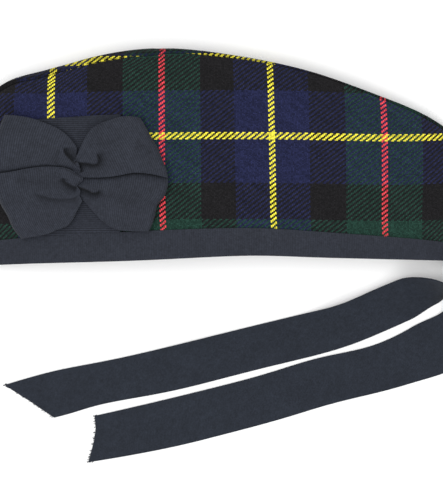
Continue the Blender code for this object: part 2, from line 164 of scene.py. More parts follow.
def smoothstep(low: float, high: float, value: np.ndarray) -> np.ndarray:
    """Zero below low, one above high, and a smooth rise between."""
    share = np.clip((value - low) / (high - low), 0.0, 1.0)
    return share * share * (3.0 - 2.0 * share)


def cloud(places: np.ndarray, size: float, seed: float = 0.0) -> np.ndarray:
    """Smooth noise from -1 to 1 at some places.

    Args:
        places: rows of positions.
        size: the size of its lumps.
        seed: how far the noise is moved, for another pattern.

    Returns:
        One value for each row.
    """
    moved = Vector((seed, seed, seed))
    return np.array([noise.noise(Vector(place) / size + moved) for place in places])


def run_along(points: np.ndarray) -> np.ndarray:
    """How far along a line of points each of them lies."""
    return np.concatenate([[0.0], np.cumsum(np.linalg.norm(np.diff(points, axis=0), axis=1))])


def through(points: Sequence[Point], share: np.ndarray) -> np.ndarray:
    """Points on a smooth curve through some points.

    Args:
        points: the curve's points in order.
        share: how far along it, by chord length, from 0 to 1.

    Returns:
        One row of x and y for each share.
    """
    knots = np.array(points, float)
    run = run_along(knots)
    run /= run[-1]
    slopes = np.gradient(knots, run, axis=0)
    k = np.clip(np.searchsorted(run, share, side="right") - 1, 0, len(run) - 2)
    width = (run[k + 1] - run[k])[..., None]
    t = (share - run[k])[..., None] / width
    start = (2.0 * t**3 - 3.0 * t**2 + 1.0) * knots[k] + (t**3 - 2.0 * t**2 + t) * width * slopes[k]
    end = (3.0 * t**2 - 2.0 * t**3) * knots[k + 1] + (t**3 - t**2) * width * slopes[k + 1]
    return start + end


class Graph:
    """A new material's nodes, with one short method for each kind that the finishes use."""

    def __init__(self, name: str) -> None:
        """Start a material with a Principled BSDF.

        Args:
            name: the material's name.
        """
        self.material = bpy.data.materials.new(name)
        self.material.use_nodes = True
        self.tree = self.material.node_tree
        self.shader = self.tree.nodes["Principled BSDF"]

    def put(self, node: bpy.types.Node, inputs: Inputs) -> bpy.types.Node:
        """Fill a node's inputs.

        Args:
            node: the node to fill.
            inputs: a value or an output socket for each input's name or number.

        Returns:
            The same node.
        """
        for key, value in inputs.items():
            if isinstance(value, Socket):
                self.tree.links.new(value, node.inputs[key])
            elif value is not None:
                node.inputs[key].default_value = value
        return node

    def add(self, kind: str, inputs: Inputs | None = None, **settings: object) -> bpy.types.Node:
        """Add a node.

        Args:
            kind: the node's type, without the ShaderNode in front.
            inputs: its inputs by name or number.
            settings: its properties by name.

        Returns:
            The new node.
        """
        node = self.tree.nodes.new("ShaderNode" + kind)
        for key, value in settings.items():
            setattr(node, key, value)
        return self.put(node, inputs or {})

    def math(self, operation: str, first: object, second: object = None) -> Socket:
        """The result of one sum on two values or sockets."""
        return self.add("Math", {0: first, 1: second}, operation=operation).outputs[0]

    def mix(self, share: object, first: object, second: object) -> Socket:
        """A colour this share of the way from the first to the second."""
        node = self.add("Mix", {0: share, 6: first, 7: second}, data_type="RGBA")
        return node.outputs[2]

    def scaled(self, color: object, low: float, high: float, share: object) -> Socket:
        """A colour made darker or lighter.

        Args:
            color: the colour's socket.
            low: its brightness where share is 0.
            high: its brightness where share is 1.
            share: the socket that says where.

        Returns:
            The changed colour's socket.
        """
        level = self.add("MapRange", {0: share, 3: low, 4: high}).outputs[0]
        return self.add("VectorMath", {0: color, "Scale": level}, operation="SCALE").outputs[0]

    def mottled(self, color: Socket, mottle: Sequence[Point]) -> Socket:
        """A colour made darker and lighter in lumps.

        Args:
            color: the colour's socket.
            mottle: how many lumps go to a metre and how far they change the colour, for each size.

        Returns:
            The changed colour's socket.
        """
        for scale, spread in mottle:
            color = self.scaled(color, 1.0 - spread, 1.0 + spread, self.noise(scale))
        return color

    def plain(self, color: Color) -> Socket:
        """One colour all over.

        Args:
            color: its value, linear.

        Returns:
            Its socket.
        """
        base = self.add("RGB").outputs[0]
        base.default_value = color
        return base

    def cloth(self) -> tuple[Socket, Socket]:
        """The place on the flat cloth, in metres along and across it."""
        parts = self.add("SeparateXYZ", {0: self.add("UVMap", uv_map=CLOTH_MAP).outputs[0]})
        return parts.outputs[0], parts.outputs[1]

    def ridges(self, place: Socket, width: float) -> Socket:
        """A height that goes from 0 to a half and back over each width."""
        return self.math("PINGPONG", self.math("DIVIDE", place, width), 0.5)

    def noise(self, scale: float, detail: float = 2.0) -> Socket:
        """Noise over the object's own place, so many lumps to a metre."""
        place = self.add("TexCoord").outputs["Object"]
        return self.add("TexNoise", {"Vector": place, "Scale": scale, "Detail": detail}).outputs[0]

    def bump(self, height: Socket, distance: float, strength: float, under: Socket | None = None) -> Socket:
        """A normal tilted by a height, over another bump if there is one."""
        inputs = {"Height": height, "Distance": distance, "Strength": strength, "Normal": under}
        return self.add("Bump", inputs).outputs[0]

    def finish(
        self, roughness: float, sheen: float, specular: float, color: Socket, normal: Socket
    ) -> bpy.types.Material:
        """Set the shader's constant values and its linked sockets.

        Args:
            roughness: the shader's roughness.
            sheen: the weight of its sheen.
            specular: its specular level.
            color: its base colour.
            normal: its normal.

        Returns:
            The finished material.
        """
        self.put(self.shader, {"Base Color": color, "Normal": normal})
        constant = {"Roughness": roughness, "Sheen Weight": sheen, "Specular IOR Level": specular}
        self.put(self.shader, constant | {"Sheen Roughness": SHEEN_ROUGHNESS})
        return self.material


class Dye(Enum):
    """The colours of the tartan's yarns, linear."""

    BLUE = (0.0120, 0.0145, 0.0470, 1.0)
    BLACK = (0.0084, 0.0079, 0.0089, 1.0)
    GREEN = (0.0108, 0.0345, 0.0252, 1.0)
    YELLOW = (0.7300, 0.6500, 0.0500, 1.0)
    RED = (0.6000, 0.0500, 0.0650, 1.0)


@dataclass(frozen=True)
class Sett:
    """Half a tartan's repeat, from the middle of its yellow line to the middle of its red one.

    The other half is this one turned round. Widths are in metres on the cloth, and middle is the
    place of a yellow line's middle.
    """

    yellow: float
    blue: float
    black: float
    green: float
    red: float
    middle: float

    def bands(self) -> list[tuple[Dye, float]]:
        """Each band's dye and width, in order."""
        return [
            (Dye.YELLOW, self.yellow / 2.0),
            (Dye.BLUE, self.blue),
            (Dye.BLACK, self.black),
            (Dye.GREEN, self.green),
            (Dye.RED, self.red / 2.0),
        ]

    def color(self, graph: Graph, place: Socket) -> Socket:
        """The yarn's colour at a place across the bands.

        Args:
            graph: the material's nodes.
            place: the place's socket, in metres.

        Returns:
            The colour's socket.
        """
        bands = self.bands()
        half = sum(width for _, width in bands)
        folded = graph.math("PINGPONG", graph.math("SUBTRACT", place, self.middle), half)
        ramp = graph.add("ValToRGB", {0: graph.math("DIVIDE", folded, half)})
        stops = ramp.color_ramp
        stops.interpolation = "CONSTANT"
        start = 0.0
        for index, (dye, width) in enumerate(bands):
            stop = stops.elements[0] if index == 0 else stops.elements.new(start / half)
            stop.color = dye.value
            start += width
        stops.elements[-1].color = bands[-1][0].value
        return ramp.outputs[0]


@dataclass(frozen=True)
class TartanCloth:
    """Worsted tartan in a twill, its lines rising to the right on the outside.

    warp and weft are the widths of a thread, roll is its height and twill the twill's repeat in
    threads. depth darkens it all, as painted shade. Each light is the least and the most brightness:
    from a thread's edge to its middle, which is painted shade between the threads, and from yarn to
    yarn and from crossing to crossing, which is the yarns' own uneven tone.
    """

    name: str
    along: Sett
    across: Sett
    warp: float = 0.00090
    weft: float = 0.00070
    roll: float = 0.00012
    twill: float = 4.0
    depth: float = 1.0
    round_light: Point = (0.52, 1.30)
    yarn_light: Point = (0.85, 1.15)
    crossing_light: Point = (0.66, 1.34)
    mottle: tuple[Point, ...] = ((900.0, 0.40), (60.0, 0.10))

    def material(self) -> bpy.types.Material:
        """The cloth's material, over the cloth's own map.

        Returns:
            The material.
        """
        graph = Graph(self.name)
        rows, tops, colors = [], [], []
        for place, thread, sett in zip(graph.cloth(), (self.warp, self.weft), (self.along, self.across)):
            row = graph.math("FLOOR", graph.math("DIVIDE", place, thread))
            middle = graph.math("MULTIPLY", graph.math("ADD", row, 0.5), thread)
            rows.append(row)
            tops.append(graph.math("MULTIPLY", graph.ridges(place, thread), 2.0))
            colors.append(sett.color(graph, middle))
        turn = graph.math("FLOORED_MODULO", graph.math("SUBTRACT", *rows), self.twill)
        over = graph.math("LESS_THAN", turn, self.twill / 2.0 - 0.5)
        color = graph.mix(over, colors[1], colors[0])
        top = graph.add("Mix", {0: over, 2: tops[1], 3: tops[0]}).outputs[0]
        # Painted shade: each thread darker at its edges than along its middle, and all of it darker by
        # depth.
        low, high = self.round_light
        color = graph.scaled(color, low * self.depth, high * self.depth, top)
        yarn = graph.add("TexWhiteNoise", {"W": graph.math("ADD", *rows)}, noise_dimensions="1D")
        color = graph.scaled(color, *self.yarn_light, yarn.outputs[0])
        spot = graph.add("CombineXYZ", {0: rows[0], 1: rows[1]}).outputs[0]
        crossing = graph.add("TexWhiteNoise", {"Vector": spot}, noise_dimensions="2D").outputs[0]
        color = graph.mottled(graph.scaled(color, *self.crossing_light, crossing), self.mottle)
        normal = graph.bump(top, self.roll, 0.7)
        return graph.finish(roughness=0.85, sheen=0.05, specular=0.10, color=color, normal=normal)


@dataclass(frozen=True)
class Ribbon:
    """Corded ribbon: ribs across its width, with fine warp threads along it.

    rib and thread are their widths and depth is the ribs' height. contrast is how far painted light
    and shade make the ribs' tops lighter and their grooves darker than its colour, and fold is the
    brightness of the painted shade in the deepest folds.
    """

    name: str
    color: Color
    rib: float = 0.00119
    depth: float = 0.00016
    contrast: float = 0.12
    thread: float = 0.00035
    fold: float = 0.22
    mottle: tuple[Point, ...] = ((1100.0, 0.50), (420.0, 0.30), (70.0, 0.18))

    def material(self) -> bpy.types.Material:
        """The ribbon's material, over the cloth's own map, with painted shade in its folds.

        Returns:
            The material.
        """
        graph = Graph(self.name)
        along, across = graph.cloth()
        rib = graph.ridges(along, self.rib)
        thread = graph.ridges(across, self.thread)
        # Painted light and shade: the ribs' tops lighter and their grooves darker.
        share = graph.math("MULTIPLY", rib, 2.0)
        color = graph.scaled(graph.plain(self.color), 1.0 - self.contrast, 1.0 + self.contrast, share)
        # Painted shade: darker where the bow's creases sink, read from the shade attribute.
        folded = graph.add("Attribute", attribute_name=SHADE).outputs["Fac"]
        color = graph.scaled(graph.mottled(color, self.mottle), 1.0, self.fold, folded)
        normal = graph.bump(rib, self.depth, 0.8, graph.bump(thread, self.depth / 3.0, 0.4))
        return graph.finish(roughness=0.75, sheen=0.05, specular=0.12, color=color, normal=normal)


@dataclass(frozen=True)
class PlainWeave:
    """Plain dark cotton for the faces inside the cap."""

    name: str
    color: Color
    thread: float = 0.0006
    roll: float = 0.00015
    mottle: tuple[Point, ...] = ((800.0, 0.15),)

    def material(self) -> bpy.types.Material:
        """The cloth's material, over the object's own place.

        Returns:
            The material.
        """
        graph = Graph(self.name)
        parts = graph.add("SeparateXYZ", {0: graph.add("TexCoord").outputs["Object"]})
        threads = [graph.ridges(parts.outputs[axis], self.thread) for axis in (0, 1)]
        color = graph.mottled(graph.plain(self.color), self.mottle)
        normal = graph.bump(graph.math("ADD", *threads), self.roll, 0.7)
        return graph.finish(roughness=0.9, sheen=0.05, specular=0.1, color=color, normal=normal)


ALONG_SETT = Sett(yellow=0.0036, blue=0.0197, black=0.0203, green=0.0207, red=0.0036, middle=0.0317)
SIDE_TARTAN = TartanCloth(
    "side_tartan",
    along=ALONG_SETT,
    across=Sett(yellow=0.0042, blue=0.0246, black=0.0213, green=0.0213, red=0.0042, middle=0.0110),
)
# The crown's tartan is darkened all over by painted shade (depth), for its strip that turns away from the
# light.
SHADED_CROWN_TARTAN = TartanCloth(
    "crown_tartan",
    along=ALONG_SETT,
    across=Sett(yellow=0.0050, blue=0.0014, black=0.0213, green=0.0213, red=0.0042, middle=0.0574),
    depth=0.66,
)
BINDING_RIBBON = Ribbon("binding_ribbon", (0.0182, 0.0208, 0.0290, 1.0), depth=0.00006)
PATCH_RIBBON = Ribbon("patch_ribbon", (0.0166, 0.0190, 0.0268, 1.0), contrast=0.42)
BOW_RIBBON = Ribbon("bow_ribbon", (0.0192, 0.0218, 0.0302, 1.0), contrast=0.32)
TAIL_RIBBON = Ribbon("tail_ribbon", (0.0141, 0.0176, 0.0255, 1.0), rib=0.0008, depth=0.00006)
INSIDE_COTTON = PlainWeave("inside_cotton", (0.012, 0.013, 0.018, 1.0))


def cloth_from_node(
    node: str, name: str, levels: int, softness: float = 0.3, corner: float = 50.0
) -> bpy.types.Object:
    """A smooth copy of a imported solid, its cut edges a little rounded and marked as seams.

    Args:
        node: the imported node's name.
        name: the new piece's name.
        levels: how many times its faces are divided.
        softness: 0 for crisp edges, 1 for round ones.
        corner: edges bent more than this many degrees are cut edges.

    Returns:
        The new piece.
    """
    piece = bpy.data.objects.new(name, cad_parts[node].data.copy())
    piece.data.name = name
    piece.data.materials.clear()
    bpy.context.scene.collection.objects.link(piece)
    activate(piece)
    if piece.data.has_custom_normals:
        bpy.ops.mesh.customdata_custom_splitnormals_clear()
    with editing(piece):
        bpy.ops.mesh.select_all(action="SELECT")
        bpy.ops.mesh.remove_doubles(threshold=MERGE)
        bpy.ops.mesh.tris_convert_to_quads(
            face_threshold=QUAD_ANGLE, shape_threshold=math.pi, topology_influence=2.0
        )
        bpy.ops.mesh.select_all(action="DESELECT")
        bpy.ops.mesh.select_mode(type="EDGE")
        bpy.ops.mesh.edges_select_sharp(sharpness=math.radians(corner))
        bpy.ops.transform.edge_crease(value=1.0 - softness)
        bpy.ops.mesh.mark_seam()
    subdivide(piece, levels)
    return piece


def regions_of(piece: bpy.types.Object) -> list[list[int]]:
    """A wall's faces in groups that no seam crosses.

    Args:
        piece: the wall.

    Returns:
        Each group's faces by their numbers.
    """
    mesh = bmesh.new()
    mesh.from_mesh(piece.data)
    mesh.faces.ensure_lookup_table()
    left = set(range(len(mesh.faces)))
    regions = []
    while left:
        start = left.pop()
        region, waiting = [start], [mesh.faces[start]]
        while waiting:
            for edge in waiting.pop().edges:
                for other in edge.link_faces:
                    if not edge.seam and other.index in left:
                        left.remove(other.index)
                        region.append(other.index)
                        waiting.append(other)
        regions.append(sorted(region))
    mesh.free()
    return regions


def wall_facing(piece: bpy.types.Object, toward: Vector, share: float = 0.1) -> list[int]:
    """The faces of a wall's broad sides that look one way, without its cut edges.

    Args:
        piece: the wall.
        toward: the way that the wanted sides look on the whole.
        share: the least share of the piece's surface that a broad side has.

    Returns:
        The faces' numbers.
    """
    faces = piece.data.polygons
    whole = sum(face.area for face in faces)
    found = []
    for region in regions_of(piece):
        area = sum(faces[index].area for index in region)
        looks = sum((faces[index].normal * faces[index].area for index in region), Vector())
        if area > share * whole and looks.dot(toward) > 0.0:
            found += region
    return found


def cloth_layer(piece: bpy.types.Object) -> bpy.types.MeshUVLoopLayer:
    """A mesh's cloth map, new if it has no map yet.

    Args:
        piece: the object with the mesh.

    Returns:
        The map's layer.
    """
    layers = piece.data.uv_layers
    layer = layers[0] if layers else layers.new(name=CLOTH_MAP)
    layer.name = CLOTH_MAP
    return layer


def flatten(piece: bpy.types.Object, skin: Sequence[int]) -> dict[int, complex]:
    """Flatten one side of a wall as the cloth was cut, with as little stretch as it allows.

    Args:
        piece: the wall.
        skin: the numbers of that side's faces.

    Returns:
        Each vertex's place on the flat cloth as a complex number, at no set size or angle.
    """
    cloth_layer(piece)
    with editing(piece):
        bpy.ops.mesh.select_mode(type="FACE")
        cloth = bmesh.from_edit_mesh(piece.data)
        cloth.faces.ensure_lookup_table()
        for index in skin:
            cloth.faces[index].select_set(True)
        bmesh.update_edit_mesh(piece.data)
        bpy.ops.uv.unwrap(method="MINIMUM_STRETCH", margin=0.0, iterations=FLATTEN_ROUNDS)
    layer = piece.data.uv_layers[CLOTH_MAP].data
    flat = {}
    for index in skin:
        face = piece.data.polygons[index]
        for loop, vertex in zip(face.loop_indices, face.vertices):
            flat[vertex] = complex(*layer[loop].uv)
    return flat


def laid_on(flat: dict[int, complex], target: dict[int, complex]) -> np.ndarray:
    """The turn, size and move that bring flat places as near as they can to their targets.

    Args:
        flat: each vertex's flat place.
        target: where some of the vertices should come.

    Returns:
        The factor and the offset that do it.
    """
    numbers = list(target)
    start = np.array([flat[number] for number in numbers])
    aim = np.array([target[number] for number in numbers])
    system = np.stack([start, np.ones_like(start)], axis=1)
    return np.linalg.lstsq(system, aim, rcond=None)[0]


def set_cloth_map(piece: bpy.types.Object, flat: dict[int, complex]) -> None:
    """Write the cloth map, giving each vertex off the skin the place of the nearest one on it.

    Args:
        piece: the wall.
        flat: each skin vertex's place on the cloth, in metres.
    """
    places = positions(piece)
    tree = KDTree(len(flat))
    for number in flat:
        tree.insert(places[number], number)
    tree.balance()
    everywhere = np.empty(len(places), complex)
    for number, place in enumerate(places):
        everywhere[number] = flat[number] if number in flat else flat[tree.find(place)[1]]
    write_map(piece, everywhere)


def write_map(piece: bpy.types.Object, spots: np.ndarray) -> None:
    """Write the cloth map from a place for each vertex.

    Args:
        piece: the object with the mesh.
        spots: each vertex's place on the cloth as a complex number, in metres.
    """
    corner = np.empty(len(piece.data.loops), np.int64)
    piece.data.loops.foreach_get("vertex_index", corner)
    both = np.stack([spots[corner].real, spots[corner].imag], axis=1).astype(np.float32)
    cloth_layer(piece).data.foreach_set("uv", both.ravel())


def ribbon_grid(name: str, steps: int, widths: int) -> tuple[bpy.types.Object, np.ndarray, np.ndarray]:
    """A flat grid, to be shaped into a turn of ribbon.

    Args:
        name: the new piece's name.
        steps: how many faces it has along the ribbon.
        widths: how many faces it has across it.

    Returns:
        The new piece, and each vertex's number along and across it.
    """
    deselect()
    bpy.ops.mesh.primitive_grid_add(x_subdivisions=steps, y_subdivisions=widths, size=1.0)
    piece = bpy.context.object
    piece.name = name
    piece.data.name = name
    shares = positions(piece)[:, :2] + 0.5
    step, row = np.rint(shares * [steps, widths]).astype(int).T
    return piece, step, row


def dress(
    piece: bpy.types.Object, materials: Sequence[bpy.types.Material], sharp: float = 40.0
) -> None:
    """Give a piece its materials and smooth shading, and put it on the cap.

    Args:
        piece: the finished mesh.
        materials: its materials, in the order its faces use them.
        sharp: edges bent more than this many degrees stay crisp.
    """
    for material in materials:
        piece.data.materials.append(material)
    activate(piece)
    bpy.ops.object.shade_smooth_by_angle(angle=math.radians(sharp))
    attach(piece, BODY)
    log.info("%s: %d faces", piece.name, len(piece.data.polygons))


@dataclass(frozen=True)
class Ease:
    """A stretch of the cap over which the cloth is set toward the rim.

    A negative amount sets it away from the rim. It grows over front and fades over back.
    """

    amount: float
    front: Point
    back: Point

    def along(self, x: np.ndarray) -> np.ndarray:
        """The shift at places along the cap."""
        return self.amount * smoothstep(*self.front, x) * (1.0 - smoothstep(*self.back, x))


SEAM_EASE = Ease(0.0015, front=(-0.1210, -0.1050), back=(-0.0420, -0.0260))
FRONT_EASE = Ease(-0.0018, front=(-0.1450, -0.1310), back=(-0.1290, -0.0980))
FRONT_EASE_OVER = (0.005, 0.030)


def highest(places: np.ndarray, axis: int, stations: int = 80) -> np.ndarray:
    """The greatest of one coordinate round each vertex's place along the cap.

    Args:
        places: the vertices' places.
        axis: the coordinate's number.
        stations: how many stretches the cap is looked at in.

    Returns:
        The greatest there, one for each vertex.
    """
    groups = np.array_split(np.argsort(places[:, 0]), stations)
    middles = [places[group, 0].mean() for group in groups]
    return np.interp(places[:, 0], middles, [places[group, axis].max() for group in groups])


def fit_outline(piece: bpy.types.Object, near: np.ndarray | float) -> None:
    """Bring the cap's upper outline to the photograph's.

    Args:
        piece: a side or the crown.
        near: how much each vertex is part of the near side's top seam, from 0 to 1.
    """
    places = positions(piece)
    x, y = places[:, 0].copy(), places[:, 1].copy()
    places[:, 1] -= SEAM_EASE.along(x) * near + FRONT_EASE.along(x) * smoothstep(*FRONT_EASE_OVER, y)
    move_to(piece, places)


@dataclass
class SidePanel:
    """One tartan side of the cap, cut as one piece of cloth.

    ease is how far the cloth rises and sinks between its seams. The lines lie straight over the
    middle, and drift moves them along the cap near the rim, lean slants them behind the middle
    and turn bends them toward the back end, as in the photograph.
    """

    side: Side
    levels: int = 2
    ease: float = 0.00022
    ease_size: float = 0.028
    calm_ends: Point = (0.005, 0.030)
    calm_rim: Point = (0.024, 0.040)
    seam_band: Point = (-0.010, -0.001)
    straight: Point = (0.100, 0.045)
    drift: float = 0.0022
    drift_from: float = 0.028
    lean: float = 0.026
    lean_about: float = -0.0052
    lean_over: Point = (-0.030, 0.030)
    turn: complex = 0.0012 + 0.0036j
    turn_from: float = 0.045
    turn_length: float = 0.090
    flat: Point = (0.122, 0.290)
    area: float = 0.0311

    @property
    def node(self) -> str:
        """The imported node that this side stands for."""
        return f"side_panel_{self.side.name.lower()}"

    def build(self, tartan: bpy.types.Material, inside: bpy.types.Material) -> bpy.types.Object:
        """Make the side and dress it.

        Args:
            tartan: the outer faces' material.
            inside: the inner faces' material.

        Returns:
            The finished side.
        """
        piece = cloth_from_node(self.node, f"tartan_side_{self.side.name.lower()}", self.levels)
        outward = Vector((0.0, 0.0, self.side.value))
        self.lay_tartan(piece, wall_facing(piece, outward))
        self.ease_cloth(piece)
        for index in wall_facing(piece, -outward):
            piece.data.polygons[index].material_index = 1
        places = positions(piece)
        seam = smoothstep(*self.seam_band, places[:, 1] - highest(places, 1))
        fit_outline(piece, seam if self.side is Side.LEFT else 0.0)
        dress(piece, [tartan, inside])
        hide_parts(self.node)
        return piece

    def lay_tartan(self, piece: bpy.types.Object, skin: Sequence[int]) -> None:
        """Lay the tartan straight over the side's middle, its lines drifting a little at the rim.

        Args:
            piece: the side.
            skin: its outer faces.
        """
        flat = flatten(piece, skin)
        places = positions(piece)
        middle = {
            number: complex(self.side.value * places[number][0], places[number][1])
            for number in flat
            if abs(places[number][0]) < self.straight[0] and abs(places[number][1]) < self.straight[1]
        }
        factor, offset = laid_on(flat, middle)
        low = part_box(self.node)[0].y
        cloth = {}
        for number, value in flat.items():
            spot = value * factor + offset
            slip = self.drift * max(0.0, 1.0 - (spot.imag - low) / self.drift_from) ** 1.5
            x, y = places[number][:2]
            lean = self.lean * (self.lean_about - y) * smoothstep(*self.lean_over, x)
            back = min(max((x - self.turn_from) / self.turn_length, 0.0), 1.0)
            cloth[number] = spot - slip - lean - complex(self.turn.real * back, self.turn.imag * back**3.5)
        set_cloth_map(piece, cloth)

    def ease_cloth(self, piece: bpy.types.Object) -> None:
        """Let the cloth rise and sink a little between its seams.

        Args:
            piece: the side.
        """
        places = positions(piece)
        low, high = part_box(self.node)
        inset = np.minimum(places[:, 0] - low.x, high.x - places[:, 0])
        calm = smoothstep(*self.calm_ends, inset) * smoothstep(*self.calm_rim, places[:, 1] - low.y)
        rise = cloud(places * [1.0, 1.0, 0.3], self.ease_size) * calm * self.ease
        if self.side is Side.RIGHT:
            rise = np.abs(rise)
        places[:, 2] += rise
        move_to(piece, places)


def laid_long(piece: bpy.types.Object, skin: Sequence[int], toward: Vector) -> dict[int, complex]:
    """Flatten a long piece at its real size, its length along the first way of the cloth.

    Args:
        piece: the wall.
        skin: its outer faces.
        toward: the way in space that the length should point.

    Returns:
        Each skin vertex's place on the cloth, in metres, measured from the middle.
    """
    flat = flatten(piece, skin)
    numbers = np.array(list(flat))
    spots = np.array(list(flat.values()))
    real = drawn = 0.0
    for index in skin:
        face = piece.data.polygons[index]
        real += face.area
        corners = [flat[vertex] for vertex in face.vertices]
        drawn += abs(sum((a.conjugate() * b).imag for a, b in zip(corners, corners[1:] + corners[:1]))) / 2.0
    spots = (spots - spots.mean()) * math.sqrt(real / drawn)
    _, _, axes = np.linalg.svd(np.stack([spots.real, spots.imag], axis=1), full_matrices=False)
    spots = spots * complex(axes[0][0], -axes[0][1])
    reach = positions(piece)[numbers] @ np.array(toward)
    if np.dot(reach - reach.mean(), spots.real) < 0.0:
        spots = -spots
    return dict(zip(numbers.tolist(), spots))


@dataclass
class Crown:
    """The oval top, folded inward between the sides, with its tartan's lines along the cap.

    stations is how many stretches its ridges are found in, and steepest their greatest slope.
    """

    node: str = "crown"
    levels: int = 2
    seam_band: Point = (-0.0030, -0.0004)
    stations: int = 60
    steepest: float = 0.9
    flat: Point = (0.082, 0.281)
    area: float = 0.0154

    def build(self, tartan: bpy.types.Material, inside: bpy.types.Material) -> bpy.types.Object:
        """Make the crown and dress it.

        Args:
            tartan: the outer faces' material.
            inside: the inner faces' material.

        Returns:
            The finished crown.
        """
        piece = cloth_from_node(self.node, "tartan_crown", self.levels)
        self.lay_tartan(piece)
        for index in wall_facing(piece, Vector((0.0, -1.0, 0.0))):
            piece.data.polygons[index].material_index = 1
        places = positions(piece)
        fit_outline(piece, smoothstep(*self.seam_band, places[:, 2] - highest(places, 2)))
        dress(piece, [tartan, inside])
        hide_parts(self.node)
        return piece

    def lay_tartan(self, piece: bpy.types.Object) -> None:
        """Lay the tartan so that its lines run on past both ridges as they do on the sides.

        Args:
            piece: the crown.
        """
        places = positions(piece)
        order = np.argsort(places[:, 0])
        ridges = []
        for group in np.array_split(order, self.stations):
            spots = places[group]
            ridges.append([spots[spots[:, 2].argmax()], spots[spots[:, 2].argmin()]])
        ridges = np.array(ridges)
        far = np.full(len(places), np.inf)
        spots = np.zeros(len(places), dtype=complex)
        for side in (0, 1):
            line = ridges[:, side]
            y, z = (np.interp(places[:, 0], line[:, 0], line[:, axis]) for axis in (1, 2))
            slope = np.interp(places[:, 0], line[:, 0], np.gradient(line[:, 1], line[:, 0]))
            slope = np.arctan(np.clip(slope, -self.steepest, self.steepest))
            down = np.hypot(places[:, 1] - y, places[:, 2] - z)
            spots = np.where(down < far, places[:, 0] + 1j * y + down * 1j * np.exp(1j * slope), spots)
            far = np.minimum(far, down)
        write_map(piece, spots)


@dataclass
class Binding:
    """The ribbon folded over the rim, all the way round.

    stations is how many stretches the rim is measured in.
    """

    node: str = "binding"
    levels: int = 2
    stations: int = 160
    flat: Point = (0.034, 0.552)

    def build(self, ribbon: bpy.types.Material) -> bpy.types.Object:
        """Make the binding and dress it.

        Args:
            ribbon: its material.

        Returns:
            The finished binding.
        """
        piece = cloth_from_node(self.node, "rim_binding", self.levels)
        self.lay_ribbon(piece)
        dress(piece, [ribbon])
        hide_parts(self.node)
        return piece

    def lay_ribbon(self, piece: bpy.types.Object) -> None:
        """Run the ribbon's length round the rim and its width up the wall.

        Args:
            piece: the binding.
        """
        places = positions(piece)
        low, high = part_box(self.node)
        middle = (low + high) / 2.0
        half = (high - low) / 2.0
        turn = np.arctan2((places[:, 2] - middle.z) / half.z, (places[:, 0] - middle.x) / half.x)
        bins = np.array_split(np.argsort(turn), self.stations)
        angle = np.array([turn[group].mean() for group in bins])
        ring = np.array([places[group][:, [0, 2]].mean(axis=0) for group in bins])
        run = run_along(np.append(ring, ring[:1], axis=0))
        along = np.interp(turn, np.append(angle, angle[0] + 2.0 * math.pi), run)
        layer = cloth_layer(piece).data
        for face in piece.data.polygons:
            lap = along[list(face.vertices)]
            lap = lap + run[-1] * (lap < lap.max() - run[-1] / 2.0)
            for loop, vertex, value in zip(face.loop_indices, face.vertices, lap):
                layer[loop].uv = (value, places[vertex][1])


@dataclass
class Patch:
    """The corded ribbon patch that the bow is sewn on.

    lap is how far its lower hem reaches down past its node, and hem how high up that starts.
    """

    node: str = "cockade_patch"
    levels: int = 3
    lap: float = 0.0007
    hem: float = 0.006
    flat: Point = (0.051, 0.0716)

    def build(self, ribbon: bpy.types.Material) -> bpy.types.Object:
        """Make the patch and dress it.

        Args:
            ribbon: its material.

        Returns:
            The finished patch.
        """
        piece = cloth_from_node(self.node, "ribbed_patch", self.levels)
        flat = flatten(piece, wall_facing(piece, UPWARD))
        places = positions(piece)
        target = {number: complex(places[number][1], -places[number][0]) for number in flat}
        factor, offset = laid_on(flat, target)
        set_cloth_map(piece, {number: value * factor + offset for number, value in flat.items()})
        hem = smoothstep(0.0, self.hem, places[:, 1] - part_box(self.node)[0].y)
        places[:, 1] -= self.lap * (1.0 - hem)
        move_to(piece, places)
        dress(piece, [ribbon])
        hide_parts(self.node)
        return piece


@dataclass(frozen=True)
class Crease:
    """A fold in a loop of the bow: a step down on the left of its way, easing up again on the right.

    Points are in millimetres from the bow's middle, as are depth and the widths of the steep side
    on the left and of the easy one on the right. It starts and ends faint over a share, fading, of
    its length.
    """

    points: tuple[Point, ...]
    depth: float
    steep: float = 0.30
    easy: float = 2.2
    fading: float = 0.15
    faint: float = 0.05
    marks: int = 24

    def press(self, spots: np.ndarray) -> np.ndarray:
        """How deep the fold is at some places.

        Args:
            spots: rows of x and y in metres from the bow's middle.

        Returns:
            The depth at each, in metres.
        """
        line = through(self.points, np.linspace(0.0, 1.0, self.marks)) * MM
        best = np.full(len(spots), 1.0)
        side = np.zeros(len(spots))
        along = np.zeros(len(spots))
        for index, (start, end) in enumerate(zip(line[:-1], line[1:])):
            way = end - start
            share = np.clip(((spots - start) @ way) / (way @ way), 0.0, 1.0)
            off = spots - (start + share[:, None] * way)
            far = np.linalg.norm(off, axis=1)
            nearer = far < best
            best = np.where(nearer, far, best)
            side = np.where(nearer, np.sign(way[0] * off[:, 1] - way[1] * off[:, 0]), side)
            along = np.where(nearer, (index + share) / (len(line) - 1), along)
        width = np.where(side > 0.0, self.steep, self.easy) * MM
        ends = smoothstep(0.0, self.fading, along) * smoothstep(0.0, self.fading, 1.0 - along)
        strength = self.faint + (1.0 - self.faint) * ends
        return self.depth * MM * np.exp(-((best / width) ** 1.3)) * strength


@dataclass(frozen=True)
class LoopShape:
    """A loop's outline in plan, in millimetres from the bow's middle, with its folds.

    seam meets the loop beside it and edge is the free side, both from root to tip. root and tip
    run from the seam to the free side. loft is the loop's height and root_loft its height at the
    root, base is how high it starts and tuck how far the seam side dips under its neighbour.
    gather is the height of the small folds at the root, and folds is how many there are.
    """

    name: str
    seam: tuple[Point, ...]
    edge: tuple[Point, ...]
    root: tuple[Point, ...]
    tip: tuple[Point, ...]
    loft: float
    root_loft: float
    base: float
    creases: tuple[Crease, ...]
    tuck: float = 0.0
    gather: float = 0.30
    folds: float = 3.0


